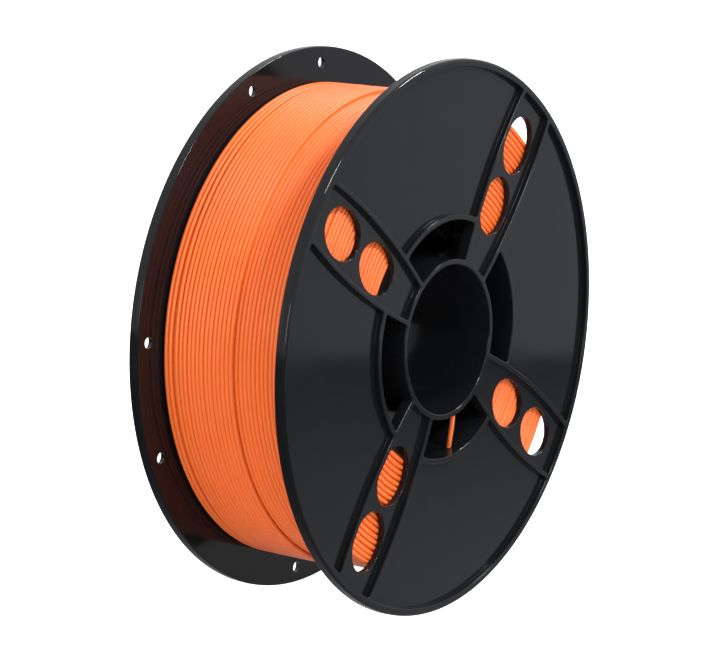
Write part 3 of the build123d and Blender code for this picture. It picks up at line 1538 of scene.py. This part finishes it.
@dataclass
class Studio:
    """Pale floor, soft lights and the camera.

    Args:
        azimuth: camera direction round the spool in degrees, 0 looks along +Y.
        elevation: camera height above the horizon in degrees.
        distance: from the origin, in millimetres.
        slide: how far the camera stands to its right and up, in millimetres.
        lens: focal length for a 36 mm wide sensor.
    """

    azimuth: float = -55.3
    elevation: float = 13.03
    distance: float = 1010.0
    slide: Point2 = (-6.1, -2.2)
    lens: float = 140.4

    def build(self) -> None:
        """Set up everything that isn't the spool."""
        self.build_floor()
        self.build_lights()
        self.build_camera()
        bpy.context.scene.view_settings.view_transform = "Standard"

    def build_floor(self) -> None:
        """Pale floor that the spool stands on, its soft bounce, and a glowing sheet that only glossy rays
        see, which paints a reflection into the gloss.
        """
        level = cad_box[0].z
        lit_paper = StudioPaper("#ffffff", glow=1.0).build()
        self.add_sheet("studio_floor", level, 6.0, lit_paper, camera=True)
        self.add_sheet("floor_bounce", level, 2.0, StudioPaper("#dcdcdc").build(), diffuse=True)
        # painted reflection: glowing sheet seen only by glossy rays, not by the camera or matt surfaces
        self.add_sheet("painted_floor_reflection", level, 6.0, PaintedTableReflection().build(), glossy=True)

    @staticmethod
    def add_sheet(
        name: str,
        level: float,
        half: float,
        material: bpy.types.Material,
        camera: bool = False,
        diffuse: bool = False,
        glossy: bool = False,
    ) -> None:
        """Lay one level sheet that only some kinds of ray see.

        Args:
            name: the sheet's name.
            level: its height, in metres.
            half: half its width, in metres.
            material: its material.
            camera: whether the camera sees it.
            diffuse: whether it lights matt surfaces.
            glossy: whether glossy surfaces mirror it.
        """
        mesh = bpy.data.meshes.new(name)
        corners = [(-half, -half, level), (half, -half, level), (half, half, level), (-half, half, level)]
        mesh.from_pydata(corners, [], [(0, 1, 2, 3)])
        mesh.materials.append(material)
        sheet = put_in_scene(name, mesh)
        sheet.visible_camera = camera
        sheet.visible_diffuse = diffuse
        sheet.visible_glossy = glossy
        sheet.visible_transmission = False
        sheet.visible_shadow = False

    def build_lights(self) -> None:
        """Large soft lights and an even light from all round."""
        world = bpy.data.worlds.new("studio_air")
        bpy.context.scene.world = world
        world.use_nodes = True
        background = world.node_tree.nodes["Background"]
        background.inputs["Color"].default_value = (1.0, 1.0, 1.0, 1.0)
        background.inputs["Strength"].default_value = 1.0
        for name, place, size, power in (
            ("key_softbox", (-0.15, -1.1, 1.0), (0.35, 0.08), 13.0),
            ("edge_softbox", (0.85, -0.6, 1.05), (0.35, 0.08), 12.0),
            ("side_softbox", (-1.6, -0.2, 0.35), (0.4, 0.4), 5.0),
        ):
            lamp = bpy.data.lights.new(name, "AREA")
            lamp.shape = "RECTANGLE"
            lamp.size, lamp.size_y = size
            lamp.energy = power
            holder = put_in_scene(name, lamp)
            holder.location = place
            holder.rotation_euler = (-Vector(place)).to_track_quat("-Z", "Y").to_euler()

    def build_camera(self) -> None:
        """Camera at the chosen angle, aimed parallel to its direction."""
        a, e = math.radians(self.azimuth), math.radians(self.elevation)
        back = Vector((math.sin(a) * math.cos(e), -math.cos(a) * math.cos(e), math.sin(e)))
        turn = back.to_track_quat("Z", "Y")
        right, up = turn @ Vector((1, 0, 0)), turn @ Vector((0, 1, 0))
        data = bpy.data.cameras.new("camera")
        data.lens = self.lens
        data.sensor_width = 36.0
        data.clip_end = 50.0
        camera = put_in_scene("camera", data)
        camera.location = (back * self.distance + right * self.slide[0] + up * self.slide[1]) * MM
        camera.rotation_euler = turn.to_euler()
        bpy.context.scene.camera = camera


def main() -> None:
    """Build the spool's pieces in order, then the studio."""
    black = MouldedPolystyrene().build()
    orange = ExtrudedFilament().build()
    HalfSpool(Side.FRONT, (54.3, 79.6), tie_holes=False, label_field=True).build(black)
    HalfSpool(Side.REAR, (54.3,), tie_holes=True, label_field=False).build(black)
    for name in ("core_latches", "core_catches"):
        node = frame["nodes"][name]
        node.data.materials.clear()
        node.data.materials.append(black)
    WoundStrand().build(StrandTurns(), orange)
    Studio().build()


if __name__ == "__main__":
    main()
